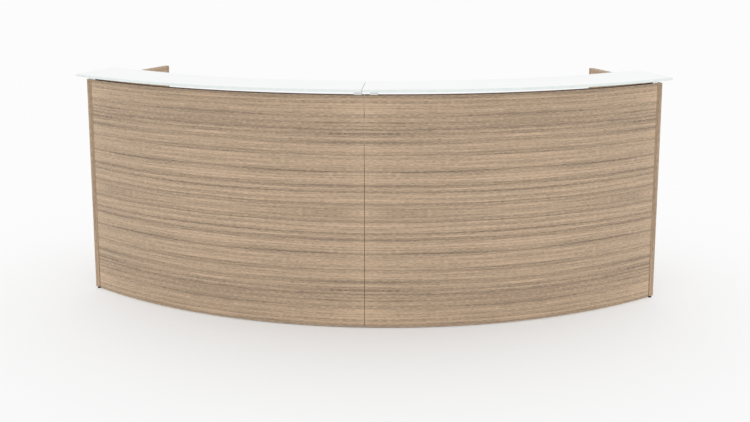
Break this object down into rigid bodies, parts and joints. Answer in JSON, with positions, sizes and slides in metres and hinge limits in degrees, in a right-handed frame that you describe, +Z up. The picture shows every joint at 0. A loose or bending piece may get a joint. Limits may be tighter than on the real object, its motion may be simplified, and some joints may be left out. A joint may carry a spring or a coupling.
{
  "type": "reception and checkout counter",
  "caption": "Bow-front service counter in greyed walnut laminate with a floating white glass transaction top, toed-in end panels and curved worktops behind.",
  "frame": {"origin": "centre of the counter's footprint on the floor", "axes": "+X along the counter, -Y towards the public, +Y towards the user, +Z up"},
  "size_m": [2.8556, 1.1924, 1.1],
  "materials": {
    "laminated_board": "matt greyed-walnut laminate, horizontal grain",
    "vertical_grain_lipping": "matt greyed walnut, vertical grain",
    "edge_band": "printed ABS band, greyed walnut",
    "white_glass": "back-painted white, polished pale green edges",
    "satin_aluminium": "satin",
    "clear_silicone": "translucent",
    "zinc_steel": "zinc plated",
    "beech_dowel": "fluted, bare",
    "black_nylon": "moulded",
    "grey_plastic": "moulded, fine texture"
  },
  "bodies": {
    "counter": {"angle_bracket_screws_left": "zinc_steel", "angle_bracket_screws_right": "zinc_steel", "angle_brackets_left": "zinc_steel", "angle_brackets_right": "zinc_steel", "centre_edge_band_left": "edge_band", "centre_edge_band_right": "edge_band", "centre_panel_left": "laminated_board", "centre_panel_right": "laminated_board", "corner_bracket_screws_left": "zinc_steel", "corner_bracket_screws_right": "zinc_steel", "corner_brackets_left": "zinc_steel", "corner_brackets_right": "zinc_steel", "corner_dowels_left": "beech_dowel", "corner_dowels_right": "beech_dowel", "end_front_lipping_left": "vertical_grain_lipping", "end_front_lipping_right": "vertical_grain_lipping", "end_panel_left": "laminated_board", "end_panel_right": "laminated_board", "end_rear_lipping_left": "vertical_grain_lipping", "end_rear_lipping_right": "vertical_grain_lipping", "front_panel_left": "laminated_board", "front_panel_right": "laminated_board", "front_top_band_left": "edge_band", "front_top_band_right": "edge_band", "glass_bracket_outer_left": "satin_aluminium", "glass_bracket_outer_right": "satin_aluminium", "glass_bracket_screws_left": "zinc_steel", "glass_bracket_screws_right": "zinc_steel", "glass_bracket_seam_left": "satin_aluminium", "glass_bracket_seam_right": "satin_aluminium", "glass_pads_left": "clear_silicone", "glass_pads_right": "clear_silicone", "glass_top_left": "white_glass", "glass_top_right": "white_glass", "glide_inserts_left": "zinc_steel", "glide_inserts_right": "zinc_steel", "grommet_liner_left": "grey_plastic", "grommet_liner_right": "grey_plastic", "lower_rail_left": "laminated_board", "lower_rail_right": "laminated_board", "module_bolts": "zinc_steel", "module_sleeve_nuts": "zinc_steel", "seam_plate": "zinc_steel", "seam_plate_screws": "zinc_steel", "worktop_edge_band_left": "edge_band", "worktop_edge_band_right": "edge_band", "worktop_left": "laminated_board", "worktop_right": "laminated_board"},
    "glide_centre_front_left": {"glide_centre_front_left": "black_nylon"},
    "glide_centre_front_right": {"glide_centre_front_right": "black_nylon"},
    "glide_centre_rear_left": {"glide_centre_rear_left": "black_nylon"},
    "glide_centre_rear_right": {"glide_centre_rear_right": "black_nylon"},
    "glide_end_front_left": {"glide_end_front_left": "black_nylon"},
    "glide_end_front_right": {"glide_end_front_right": "black_nylon"},
    "glide_end_rear_left": {"glide_end_rear_left": "black_nylon"},
    "glide_end_rear_right": {"glide_end_rear_right": "black_nylon"},
    "grommet_cap_left": {"grommet_cap_left": "grey_plastic"},
    "grommet_cap_right": {"grommet_cap_right": "grey_plastic"}
  },
  "joints": [
    {"name": "level_centre_front_left", "type": "slide", "parent": "counter", "child": "glide_centre_front_left", "axis": [0, 0, -1], "range_m": [0, 0.012]},
    {"name": "level_centre_front_right", "type": "slide", "parent": "counter", "child": "glide_centre_front_right", "axis": [0, 0, -1], "range_m": [0, 0.012]},
    {"name": "level_centre_rear_left", "type": "slide", "parent": "counter", "child": "glide_centre_rear_left", "axis": [0, 0, -1], "range_m": [0, 0.012]},
    {"name": "level_centre_rear_right", "type": "slide", "parent": "counter", "child": "glide_centre_rear_right", "axis": [0, 0, -1], "range_m": [0, 0.012]},
    {"name": "level_end_front_left", "type": "slide", "parent": "counter", "child": "glide_end_front_left", "axis": [0, 0, -1], "range_m": [0, 0.012]},
    {"name": "level_end_front_right", "type": "slide", "parent": "counter", "child": "glide_end_front_right", "axis": [0, 0, -1], "range_m": [0, 0.012]},
    {"name": "level_end_rear_left", "type": "slide", "parent": "counter", "child": "glide_end_rear_left", "axis": [0, 0, -1], "range_m": [0, 0.012]},
    {"name": "level_end_rear_right", "type": "slide", "parent": "counter", "child": "glide_end_rear_right", "axis": [0, 0, -1], "range_m": [0, 0.012]},
    {"name": "cap_turn_left", "type": "hinge", "parent": "counter", "child": "grommet_cap_left", "pos_m": [-1.04233, -0.13795, 0.737], "axis": [0, 0, 1], "continuous": true},
    {"name": "cap_turn_right", "type": "hinge", "parent": "counter", "child": "grommet_cap_right", "pos_m": [1.04233, -0.13795, 0.737], "axis": [0, 0, 1], "continuous": true}
  ]
}
